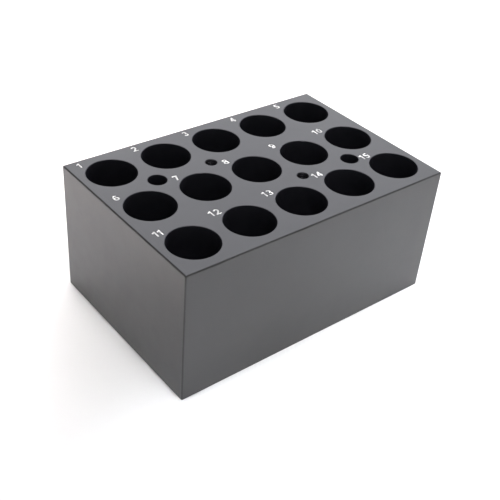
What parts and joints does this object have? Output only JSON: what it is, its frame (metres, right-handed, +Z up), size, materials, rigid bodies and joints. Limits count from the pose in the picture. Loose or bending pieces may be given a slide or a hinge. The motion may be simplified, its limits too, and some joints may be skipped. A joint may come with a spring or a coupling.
{
  "type": "dry block heater well block",
  "caption": "Solid rectangular metal block with numbered wells for centrifuge tubes, to be screwed onto a dry block heater.",
  "frame": {"origin": "centre of the underside, the face that lies on the heater plate", "axes": "+X along the five columns of wells, +Y towards the back row (wells 1 to 5), +Z up out of the wells"},
  "size_m": [0.11, 0.0728, 0.0503],
  "materials": {
    "anodised_aluminium": "black anodised, fine satin",
    "numeral_paint": "white engraving paint, matt"
  },
  "bodies": {
    "root": {"heating_block": "anodised_aluminium", "number_1": "numeral_paint", "number_2": "numeral_paint", "number_3": "numeral_paint", "number_4": "numeral_paint", "number_5": "numeral_paint", "number_6": "numeral_paint", "number_7": "numeral_paint", "number_8": "numeral_paint", "number_9": "numeral_paint", "number_10_tens": "numeral_paint", "number_10_units": "numeral_paint", "number_11_tens": "numeral_paint", "number_11_units": "numeral_paint", "number_12_tens": "numeral_paint", "number_12_units": "numeral_paint", "number_13_tens": "numeral_paint", "number_13_units": "numeral_paint", "number_14_tens": "numeral_paint", "number_14_units": "numeral_paint", "number_15_tens": "numeral_paint", "number_15_units": "numeral_paint"}
  },
  "joints": []
}
